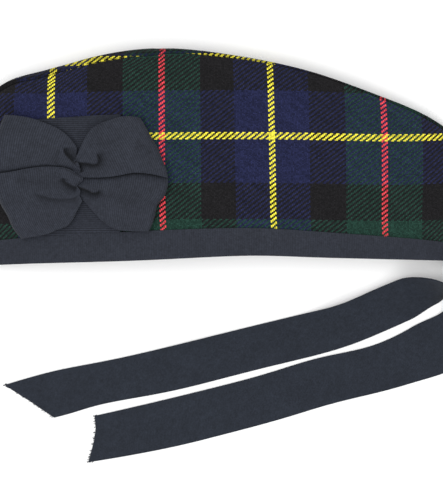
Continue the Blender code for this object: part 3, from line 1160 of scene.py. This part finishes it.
FRONT_MEET = (
    (4.0, 0.8), (0.4, 3.0), (-3.4, 5.5), (-6.7, 6.6), (-12.7, 7.3), (-19.0, 7.4), (-28.0, 6.4),
    (-38.0, 4.6), (-49.8, 3.2),
)
BACK_MEET = (
    (-1.0, 1.2), (4.6, 1.15), (10.0, 0.9), (17.3, 1.1), (24.0, 1.9), (33.4, 3.6), (42.0, 3.0),
    (53.1, 0.6),
)
BOW_CLEAR = 0.0012
LOOPS = (
    LoopShape(
        name="back_lower",
        seam=(
            (-1.0, 0.5), (4.6, 2.0), (10.0, 2.2), (17.3, 2.6), (24.0, 3.4), (33.4, 4.4), (42.0, 3.6),
            (53.0, 1.6),
        ),
        edge=(
            (3.8, -12.2), (6.6, -15.2), (9.2, -18.2), (13.1, -22.5), (18.2, -26.7), (22.8, -29.1),
            (31.0, -30.0), (42.1, -30.2),
        ),
        root=((-1.0, 0.5), (-1.0, -3.0), (0.4, -7.5), (3.8, -12.2)),
        tip=(
            (53.0, 1.6), (53.0, -3.5), (50.4, -10.9), (47.1, -14.8), (45.6, -20.8), (43.8, -26.5),
            (42.1, -30.2),
        ),
        loft=5.6,
        root_loft=2.6,
        base=0.6,
        creases=(
            Crease(
                ((-0.9, -3.7), (2.8, -5.2), (6.1, -6.4), (10.2, -8.1), (12.7, -7.4), (13.6, -5.4)),
                depth=1.7, steep=0.3, easy=2.8,
            ),
            Crease(BACK_MEET, depth=0.9, steep=3.0, easy=0.8),
            Crease(((16.0, -8.0), (26.0, -11.0), (36.0, -14.5)), depth=0.35, steep=3.0, easy=3.0),
        ),
        tuck=2.0,
    ),
    LoopShape(
        name="back_upper",
        seam=BACK_MEET,
        edge=(
            (-2.4, 9.6), (-0.2, 13.0), (1.6, 17.0), (4.3, 22.6), (9.2, 29.6), (14.0, 32.4), (19.6, 34.2),
            (24.2, 35.7), (31.1, 36.4), (37.1, 35.4),
        ),
        root=((-1.0, 1.2), (-2.0, 5.0), (-2.4, 9.6)),
        tip=((53.1, 0.6), (52.2, 5.4), (50.2, 10.6), (47.5, 17.3), (44.1, 23.1), (40.6, 29.5), (37.1, 35.4)),
        loft=6.4,
        root_loft=2.4,
        base=1.0,
        creases=(
            Crease(
                ((-1.3, 9.5), (2.3, 9.2), (5.9, 9.1), (9.5, 8.3), (12.3, 8.8), (13.2, 11.6), (11.4, 15.6)),
                depth=1.6, steep=0.4, easy=2.6,
            ),
            Crease(((3.0, 3.6), (2.0, 6.0), (-0.6, 8.8)), depth=1.3, steep=1.5, easy=1.5),
            Crease(((10.0, 20.0), (20.0, 21.5), (27.0, 25.0)), depth=0.35, steep=3.0, easy=3.0),
            Crease(((34.0, 21.0), (39.5, 18.6), (44.0, 14.0)), depth=0.45, steep=2.0, easy=3.0),
        ),
    ),
    LoopShape(
        name="front_upper",
        seam=((0.4, 3.0), (-3.4, 3.6), (-9.0, 4.6), (-19.0, 5.0), (-31.0, 4.2), (-48.6, 3.0)),
        edge=(
            (-1.6, 9.8), (-0.4, 13.5), (0.2, 17.9), (-2.4, 22.2), (-5.8, 25.8), (-10.7, 29.4), (-17.3, 32.3),
            (-27.3, 35.8), (-34.0, 37.0), (-42.5, 37.8),
        ),
        root=((0.4, 3.0), (1.7, 4.0), (2.5, 5.8), (0.6, 7.8), (-1.6, 9.8)),
        tip=((-48.6, 3.0), (-48.2, 14.0), (-46.6, 26.0), (-42.5, 37.8)),
        loft=5.6,
        root_loft=3.2,
        base=1.2,
        creases=(
            Crease(
                ((-0.2, 8.4), (-1.8, 10.0), (-4.2, 12.4), (-6.6, 15.2), (-7.3, 18.8)),
                depth=2.0, steep=0.3, easy=4.2,
            ),
            Crease(FRONT_MEET, depth=1.2, steep=3.0, easy=0.9),
            Crease(((-13.5, 8.5), (-11.5, 12.5), (-10.5, 18.0)), depth=0.55, steep=2.6, easy=1.6),
            Crease(((-30.0, 22.0), (-20.0, 19.0), (-14.0, 18.0)), depth=0.30, steep=2.5, easy=3.5),
        ),
        tuck=1.6,
    ),
    LoopShape(
        name="front_lower",
        seam=FRONT_MEET,
        edge=(
            (3.5, -12.5), (1.6, -16.0), (0.0, -19.0), (-2.3, -23.6), (-6.0, -27.4), (-11.0, -29.2),
            (-15.7, -31.2), (-24.0, -33.1), (-32.3, -34.4),
        ),
        root=(
            (4.0, 0.8), (3.6, -1.0), (1.6, -2.6), (0.3, -4.0), (1.4, -5.2), (2.3, -6.6), (2.3, -8.4),
            (2.0, -9.6), (2.7, -11.0), (3.5, -12.5),
        ),
        tip=((-49.8, 3.2), (-47.6, -6.0), (-44.0, -15.4), (-40.6, -21.0), (-37.0, -28.8), (-32.3, -34.4)),
        loft=6.2,
        root_loft=3.4,
        base=1.6,
        creases=(
            Crease(
                ((-26.0, -7.6), (-20.8, -9.6), (-14.0, -11.3), (-7.5, -11.6), (-1.0, -11.0), (1.9, -8.8)),
                depth=0.8,
            ),
            Crease(
                ((-7.8, 1.4), (-6.9, -1.2), (-4.6, -3.2), (-1.8, -4.5), (1.0, -5.0)),
                depth=1.3, steep=0.6, easy=2.4,
            ),
            Crease(((-36.0, 0.5), (-26.0, -1.0), (-17.0, -1.5)), depth=0.30, steep=2.5, easy=3.5),
        ),
    ),
)


@dataclass
class BowLoop:
    """One loop of the bow: ribbon that runs out, turns over at its tip and comes back beneath.

    cloth is its thickness, clear the least room beneath its upper layer, and crowned how much
    lower its edges lie, as a share. dip is how far from the seam it dips, in millimetres, and soft
    the height of its lumps. even is the share of its length, beside the root, over which its
    places are less and less evened out. steps, widths and turns are its rows of faces along,
    across and round the tip.
    """

    shape: LoopShape
    middle: Vector
    ground: Callable[[float, float], float]
    cloth: float = 0.0008
    clear: float = 0.0006
    crowned: float = 0.25
    dip: float = 5.0
    soft: float = 0.00035
    soft_size: float = 0.016
    soft_seed: float = 3.0
    even: Point = (0.10, 0.25)
    even_rounds: int = 60
    steps: int = 84
    widths: int = 64
    turns: int = 10
    flat: Point = (0.036, 0.100)

    def build(self, ribbon: bpy.types.Material) -> bpy.types.Object:
        """Make the loop and dress it.

        Args:
            ribbon: its material.

        Returns:
            The finished loop.
        """
        rows = self.section()
        piece, step, row = ribbon_grid(f"bow_loop_{self.shape.name}", len(rows) - 1, self.widths)
        across = row / self.widths
        spots = self.unfolded(self.plan(rows[step, 0], across), step, row)
        top = smoothstep(0.0, 0.6, rows[step, 2])
        sunk = sum(crease.press(spots) for crease in self.shape.creases) * top
        lift = self.lifted(rows[step], across, top) - sunk
        seam = through(self.shape.seam, rows[step, 0]) * MM
        dip = np.clip(1.0 - np.linalg.norm(spots - seam, axis=1) / (self.dip * MM), 0.0, 1.0) ** 1.5
        lift = np.maximum(lift - dip * self.shape.tuck * MM * top, self.cloth + self.clear * top)
        lumps = np.stack([spots[:, 0], spots[:, 1], rows[step, 0] * 0.01], axis=1)
        lift += cloud(lumps, self.soft_size, self.soft_seed) * self.soft * top
        base = np.array([self.ground(*(self.middle.xy + Vector(spot))) for spot in spots])
        places = np.column_stack([spots + np.array(self.middle.xy), base + lift])
        move_to(piece, places)
        run = run_along(rows[:, :2] * [self.flat[1] / 2.0, 1.0])
        write_map(piece, run[step] + 1j * places[:, 1])
        # Painted shade for the creases: each place's share of the deepest crease's depth, which darkens the
        # ribbon's colour.
        deepest = max(crease.depth for crease in self.shape.creases) * MM
        shade = np.clip(sunk / deepest, 0.0, 1.0)
        layer = piece.data.attributes.new(SHADE, "FLOAT", "POINT")
        layer.data.foreach_set("value", shade.astype(np.float32))
        with editing(piece):
            bpy.ops.mesh.select_all(action="SELECT")
            bpy.ops.mesh.normals_make_consistent(inside=False)
        self.face_up(piece)
        apply_modifier(piece, "SOLIDIFY", thickness=self.cloth, offset=-1.0, use_even_offset=False)
        dress(piece, [ribbon], 50.0)
        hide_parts(f"bow_lobe_{self.shape.name}")
        return piece

    def section(self) -> np.ndarray:
        """The loop's side view, from the root over the top, round the tip and back beneath.

        Returns:
            Rows of share along, height and how far the cloth faces up.
        """
        loft = self.shape.loft * MM
        root = self.shape.root_loft * MM
        turn = loft / self.flat[1]
        rows = []
        for step in np.linspace(0.0, 1.0, self.steps):
            rise = math.sin(math.pi / 2.0 * step) ** 0.8
            rows.append((step * (1.0 - turn), root + (loft - root) * rise, 1.0))
        for angle in np.linspace(90.0, -90.0, self.turns + 2)[1:-1]:
            out, up = math.cos(math.radians(angle)), math.sin(math.radians(angle))
            rows.append((1.0 - turn + turn * out, loft / 2.0 * (1.0 + up), up))
        for step in np.linspace(1.0, 0.0, self.steps // 3):
            rows.append((step * (1.0 - turn), 0.0, -1.0))
        return np.array(rows)

    def lifted(self, rows: np.ndarray, across: np.ndarray, top: np.ndarray) -> np.ndarray:
        """How high the cloth would lie without its creases.

        Args:
            rows: each vertex's row of the section.
            across: its share from the seam to the free edge.
            top: how much it is part of the upper layer, from 0 to 1.

        Returns:
            Its height over what lies beneath the bow.
        """
        along, height = rows[:, 0], rows[:, 1]
        waves = np.cos(across * 2.0 * math.pi * self.shape.folds + along * 1.5)
        ripple = waves * self.shape.gather * MM * (1.0 - along) ** 2 * top
        sagging = self.crowned * (np.sin(across * math.pi) ** 0.5 - 1.0) * top
        return height * (1.0 + sagging) + ripple + self.shape.base * MM

    def plan(self, along: np.ndarray, across: np.ndarray) -> np.ndarray:
        """Places in plan, in metres from the bow's middle.

        Args:
            along: shares from the root to the tip.
            across: shares from the seam to the free edge.

        Returns:
            Rows of x and y.
        """
        seam = through(self.shape.seam, along)
        edge = through(self.shape.edge, along)
        tip = through(self.shape.tip, across)
        root = through(self.shape.root, across)
        a, b = along[:, None], across[:, None]
        start = (1 - b) * np.array(self.shape.root[0]) + b * np.array(self.shape.root[-1])
        end = (1 - b) * np.array(self.shape.tip[0]) + b * np.array(self.shape.tip[-1])
        return ((1 - b) * seam + b * edge + (1 - a) * (root - start) + a * (tip - end)) * MM

    def unfolded(self, spots: np.ndarray, step: np.ndarray, row: np.ndarray) -> np.ndarray:
        """Even the places out beside the root, so that the cloth doesn't cross itself there.

        Args:
            spots: each vertex's place in plan.
            step: its number along the loop.
            row: its number across the loop.

        Returns:
            The evened places.
        """
        grid = np.zeros((step.max() + 1, row.max() + 1, 2))
        grid[step, row] = spots
        last = len(grid) - 1
        share = np.minimum(np.arange(last + 1), (last - np.arange(last + 1)) * 3) / self.steps
        weight = 1.0 - smoothstep(*self.even, share)
        for _ in range(self.even_rounds):
            around = (grid[:-2, 1:-1] + grid[2:, 1:-1] + grid[1:-1, :-2] + grid[1:-1, 2:]) / 4.0
            grid[1:-1, 1:-1] += (around - grid[1:-1, 1:-1]) * weight[1:-1, None, None]
        return grid[step, row]

    def face_up(self, piece: bpy.types.Object) -> None:
        """Turn the ribbon's faces so that the loop's outside is the front.

        Args:
            piece: the loop.
        """
        top = max(piece.data.polygons, key=lambda face: face.center.z * abs(face.normal.z))
        if top.normal.z < 0.0:
            piece.data.flip_normals()


@dataclass
class Knot:
    """The turn of ribbon that crosses the bow's middle and holds the loops' roots.

    Points are in millimetres from the bow's middle, from the turn's start to its pointed end.
    rise is the turn's height, grown over rise_over, and sink is how far its start dips under the
    loop, up to sink_to. edge is the height of its edges and drop how far its end, from point_from,
    comes down, as shares. slant is how far its ribs lean.
    """

    middle: Vector
    ground: Callable[[float, float], float]
    node: str = "bow_knot"
    upper: tuple[Point, ...] = (
        (-17.0, 6.6), (-12.0, 7.0), (-6.7, 6.8), (-3.4, 5.6), (0.4, 3.2), (3.6, 1.6), (6.4, 0.4),
    )
    lower: tuple[Point, ...] = (
        (-17.0, 1.5), (-12.0, 1.2), (-7.6, 0.8), (-5.6, -0.4), (-4.4, -1.8), (-2.7, -2.9), (-0.4, -3.8),
        (2.4, -2.5), (4.6, -1.2), (6.4, 0.0),
    )
    rise: float = 0.0013
    rise_over: Point = (0.05, 0.55)
    sink: float = 0.0006
    sink_to: float = 0.35
    edge: float = 0.45
    drop: float = 0.6
    point_from: float = 0.90
    slant: float = 0.35
    cloth: float = 0.0012
    steps: int = 70
    widths: int = 24
    even_rounds: int = 12
    flat: Point = (0.011, 0.026)

    def build(self, ribbon: bpy.types.Material) -> bpy.types.Object:
        """Make the knot and dress it.

        Args:
            ribbon: its material.

        Returns:
            The finished knot.
        """
        piece, step, row = ribbon_grid("bow_knot_turn", self.steps, self.widths)
        along, across = step / self.steps, row / self.widths
        upper, lower = (through(line, along) for line in (self.upper, self.lower))
        places = np.zeros((len(along), 3))
        places[:, :2] = (lower + (upper - lower) * across[:, None]) * MM + np.array(self.middle.xy)
        ground = np.array([self.ground(x, y) for x, y in places[:, :2]])
        sunk = self.sink * (1.0 - smoothstep(0.0, self.sink_to, along))
        rise = self.rise * smoothstep(*self.rise_over, along) - sunk
        rounded = self.edge + (1.0 - self.edge) * (1.0 - np.abs(2.0 * across - 1.0) ** 5)
        pointed = 1.0 - self.drop * smoothstep(self.point_from, 1.0, along)
        places[:, 2] = self.eased(ground + rise * rounded * pointed, step, row)
        move_to(piece, places)
        write_map(piece, places @ np.array([1.0, 1j - self.slant, 0.0]))
        apply_modifier(piece, "SOLIDIFY", thickness=self.cloth, offset=-1.0, use_even_offset=False)
        dress(piece, [ribbon], 60.0)
        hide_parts(self.node)
        return piece

    def eased(self, heights: np.ndarray, step: np.ndarray, row: np.ndarray) -> np.ndarray:
        """Smooth the heights over the turn, so that it doesn't drop into the folds beneath.

        Args:
            heights: each vertex's height.
            step: its number along the turn.
            row: its number across it.

        Returns:
            The smoother heights.
        """
        grid = np.zeros((self.steps + 1, self.widths + 1))
        grid[step, row] = heights
        for _ in range(self.even_rounds):
            padded = np.pad(grid, 1, mode="edge")
            around = padded[:-2, 1:-1] + padded[2:, 1:-1] + padded[1:-1, :-2] + padded[1:-1, 2:]
            grid = np.maximum(grid, around / 4.0) * 0.5 + around / 8.0
        return grid[step, row]


@dataclass
class Tail:
    """A ribbon tail lying on the floor, with a slanting cut end that frays.

    trim is how much the cut end is let out, in millimetres, evenly from its upper to its lower edge,
    and end_length how far up the tail that starts. The cut end is looked at in so many marks over
    its width, each as wide as near to both sides, and the ribbon's way there is read off the
    tail's edges between the distances way_from and way_to from its tip. longest is the length of
    the fringe's longest threads, shortest a share of that, and corner how much longer they get at
    the corners. stray is how unevenly they stand, as a share of the width, spread how far they
    turn aside, in degrees, and droop and lift how far they point down and up.
    """

    which: str
    width: float
    trim: tuple[float, ...]
    levels: int = 3
    ripple: float = 0.0005
    ripple_size: float = 0.030
    ripple_seed: float = 7.0
    end_length: float = 0.030
    marks: int = 21
    near: float = 0.05
    way_from: float = 0.034
    way_to: float = 0.064
    way_step: float = 0.004
    threads: int = 90
    thread: float = 0.00017
    longest: float = 0.0018
    shortest: float = 0.25
    corner: float = 0.8
    stray: float = 0.008
    spread: float = 30.0
    droop: float = 0.05
    lift: float = 0.12

    @property
    def shares(self) -> np.ndarray:
        """Shares of the width at which the cut end is looked at, from its upper edge."""
        return np.linspace(0.0, 1.0, self.marks)

    def build(self, ribbon: bpy.types.Material) -> bpy.types.Object:
        """Make the tail and dress it.

        Args:
            ribbon: its material.

        Returns:
            The finished tail.
        """
        node = f"ribbon_tail_{self.which}"
        piece = cloth_from_node(node, f"tail_{self.which}", self.levels, 0.0, 38.0)
        skin = wall_facing(piece, UPWARD)
        set_cloth_map(piece, laid_long(piece, skin, Vector((-1.0, 0.0, 0.0))))
        places = positions(piece)
        lumps = cloud(places * [1.0, 1.0, 0.0], self.ripple_size, self.ripple_seed)
        places[:, 2] += np.abs(lumps) * self.ripple
        way, along, share = self.cut_end(places)
        end = np.array([along[np.abs(share - value) < self.near].max() for value in self.shares])
        let_out = np.interp(share, np.linspace(0.0, 1.0, len(self.trim)), self.trim) * MM
        reach = smoothstep(0.0, 1.0, 1.0 + (along - np.interp(share, self.shares, end)) / self.end_length)
        places += way * (let_out * reach)[:, None]
        move_to(piece, places)
        along += let_out * reach
        tips = [np.where(np.abs(share - value) < self.near, along, -1.0).argmax() for value in self.shares]
        dress(piece, [ribbon])
        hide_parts(node)
        fray = self.fray(places[tips], way, ribbon)
        return piece

    def cut_end(self, places: np.ndarray) -> tuple[np.ndarray, np.ndarray, np.ndarray]:
        """How the tail lies toward its cut end.

        Args:
            places: each vertex's place.

        Returns:
            The ribbon's way there, each vertex's reach along it, and its share of the width from the top.
        """
        from_tip = places[:, 0] - places[:, 0].min()
        slopes = []
        for outward in (1.0, -1.0):
            edge = []
            for start in np.arange(self.way_from, self.way_to, self.way_step):
                spots = places[(from_tip > start) & (from_tip < start + self.way_step)]
                edge.append(spots[(spots[:, 1] * outward).argmax(), :2])
            slopes.append(np.polyfit(*np.array(edge).T, 1)[0])
        lean = math.atan(sum(slopes) / 2.0)
        way = np.array([-math.cos(lean), -math.sin(lean), 0.0])
        along = places @ way
        up = places @ np.array([-math.sin(lean), math.cos(lean), 0.0])
        end = up[along > along.max() - 0.8 * self.end_length]
        return way, along, np.clip((end.max() - up) / (end.max() - end.min()), 0.0, 1.0)

    def fray(self, line: np.ndarray, way: np.ndarray, ribbon: bpy.types.Material) -> bpy.types.Object:
        """The loose thread ends along the cut, joined as one piece.

        Args:
            line: places along the cut end, one for each of the shares.
            way: the ribbon's way there.
            ribbon: their material.

        Returns:
            The finished fringe.
        """
        chance = np.random.default_rng(len(self.which) + int(self.width * 10000.0))
        mesh = bmesh.new()
        stray = chance.uniform(-self.stray, self.stray, self.threads)
        for value in np.linspace(0.01, 0.99, self.threads) + stray:
            start = Vector([np.interp(value, self.shares, line[:, axis]) for axis in range(3)])
            start.z = self.thread * 3.0
            length = self.longest * (self.shortest + (1.0 - self.shortest) * chance.random() ** 3.5)
            length *= 1.0 + self.corner * abs(2.0 * value - 1.0) ** 12
            turn = Matrix.Rotation(math.radians(chance.uniform(-self.spread, self.spread)), 4, "Z")
            lean = turn @ Vector((way[0], way[1], chance.uniform(-self.droop, self.lift)))
            place = Matrix.Translation(start + lean * (length / 2.0 - self.thread * 4.0))
            place = place @ lean.to_track_quat("Z", "Y").to_matrix().to_4x4()
            bmesh.ops.create_cone(
                mesh, cap_ends=True, segments=5, radius1=self.thread, radius2=self.thread * 0.5,
                depth=length + self.thread * 8.0, matrix=place,
            )
        data = bpy.data.meshes.new(f"fray_{self.which}")
        mesh.to_mesh(data)
        mesh.free()
        piece = bpy.data.objects.new(data.name, data)
        bpy.context.scene.collection.objects.link(piece)
        write_map(piece, positions(piece) @ np.array([1.0, 1j, 0.0]))
        dress(piece, [ribbon])
        return piece


@dataclass(frozen=True)
class Lamp:
    """A square soft lamp that shines at the cap's middle."""

    name: str
    place: tuple[float, float, float]
    size: float
    power: float

    def hang(self) -> None:
        """Add the lamp."""
        deselect()
        bpy.ops.object.light_add(type="AREA", location=self.place)
        lamp = bpy.context.object
        lamp.name = self.name
        lamp.data.size = self.size
        lamp.data.energy = self.power
        lamp.rotation_euler = (-Vector(self.place)).to_track_quat("-Z", "Y").to_euler()


@dataclass(frozen=True)
class Studio:
    """The plain pale floor, soft light and the camera, straight above the cap.

    The picture is taken to be 443 by 503 pixels. scale is the size of a pixel on the cap's side,
    which lies side_height above the floor, and over is the place that the camera is above.
    """

    long_side: int = 503
    over: Point = (0.0020, -0.0553)
    distance: float = 1.5
    side_height: float = 0.030
    scale: float = 0.00058
    sensor: float = 36.0
    floor_size: float = 6.0
    floor_gap: float = 0.0002
    paleness: float = 0.90
    room: float = 0.70
    lamps: tuple[Lamp, ...] = (
        Lamp("key", (-0.45, 0.05, 1.80), size=1.1, power=20.0),
        Lamp("fill", (0.50, -0.75, 1.6), size=1.4, power=13.0),
    )

    def build(self) -> None:
        """Make the floor, the lights and the camera."""
        self.floor()
        self.lights()
        self.camera()

    def floor(self) -> None:
        """Lay the pale floor."""
        deselect()
        bpy.ops.mesh.primitive_plane_add(size=self.floor_size, location=(0.0, 0.0, -self.floor_gap))
        floor = bpy.context.object
        floor.name = "floor"
        graph = Graph("pale_floor")
        pale = graph.plain((self.paleness, self.paleness, self.paleness, 1.0))
        color = graph.scaled(pale, 0.995, 1.0, graph.noise(30.0))
        normal = graph.bump(graph.noise(200.0), 0.0001, 0.1)
        material = graph.finish(roughness=0.9, sheen=0.0, specular=0.1, color=color, normal=normal)
        floor.data.materials.append(material)

    def lights(self) -> None:
        """Hang the soft lamps over the cap and brighten the room."""
        scene = bpy.context.scene
        scene.view_settings.view_transform = "Standard"
        world = bpy.data.worlds.new("room")
        world.use_nodes = True
        background = world.node_tree.nodes["Background"]
        background.inputs["Color"].default_value = (1.0, 1.0, 1.0, 1.0)
        background.inputs["Strength"].default_value = self.room
        scene.world = world
        for lamp in self.lamps:
            lamp.hang()

    def camera(self) -> None:
        """Set the camera where the photograph was taken from."""
        deselect()
        bpy.ops.object.camera_add(location=(*self.over, self.distance), rotation=(0.0, 0.0, 0.0))
        camera = bpy.context.object
        camera.name = "camera"
        camera.data.sensor_width = self.sensor
        focal = (self.distance - self.side_height) / self.scale
        camera.data.lens = self.sensor * focal / self.long_side
        bpy.context.scene.camera = camera


def ground_under(piece: bpy.types.Object) -> Callable[[float, float], float]:
    """The height of a piece's upper side over any place in plan.

    Args:
        piece: the piece that things lie on.

    Returns:
        A function of x and y.
    """
    tree = BVHTree.FromObject(piece, bpy.context.evaluated_depsgraph_get())
    low = min(corner[2] for corner in piece.bound_box)

    def height(x: float, y: float) -> float:
        """The height at one place."""
        hit = tree.ray_cast(Vector((x, y, 1.0)), Vector((0.0, 0.0, -1.0)))[0]
        return hit.z if hit else low

    return height


def main() -> None:
    """Build the cap piece by piece, then the studio round it."""
    logging.basicConfig(level=logging.INFO, format="%(name)s %(message)s")
    tartan = SIDE_TARTAN.material()
    inside = INSIDE_COTTON.material()
    left = SidePanel(Side.LEFT).build(tartan, inside)
    SidePanel(Side.RIGHT).build(tartan, inside)
    Crown().build(SHADED_CROWN_TARTAN.material(), inside)
    Binding().build(BINDING_RIBBON.material())
    bow_ribbon = BOW_RIBBON.material()
    Patch().build(PATCH_RIBBON.material())
    low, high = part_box("bow_knot")
    middle = (low + high) / 2.0
    ground = ground_under(left)
    loops = {}
    for shape in LOOPS:
        loops[shape.name] = BowLoop(shape, middle, lambda x, y: ground(x, y) + BOW_CLEAR).build(bow_ribbon)
    Knot(middle, ground_under(loops["front_lower"])).build(bow_ribbon)
    tail_ribbon = TAIL_RIBBON.material()
    Tail("upper", width=0.0258, trim=(1.5, 0.3, 0.0)).build(tail_ribbon)
    Tail("lower", width=0.0282, trim=(-1.3, -1.0, 1.1, 4.2, 7.4)).build(tail_ribbon)
    Studio().build()


if __name__ == "__main__":
    main()
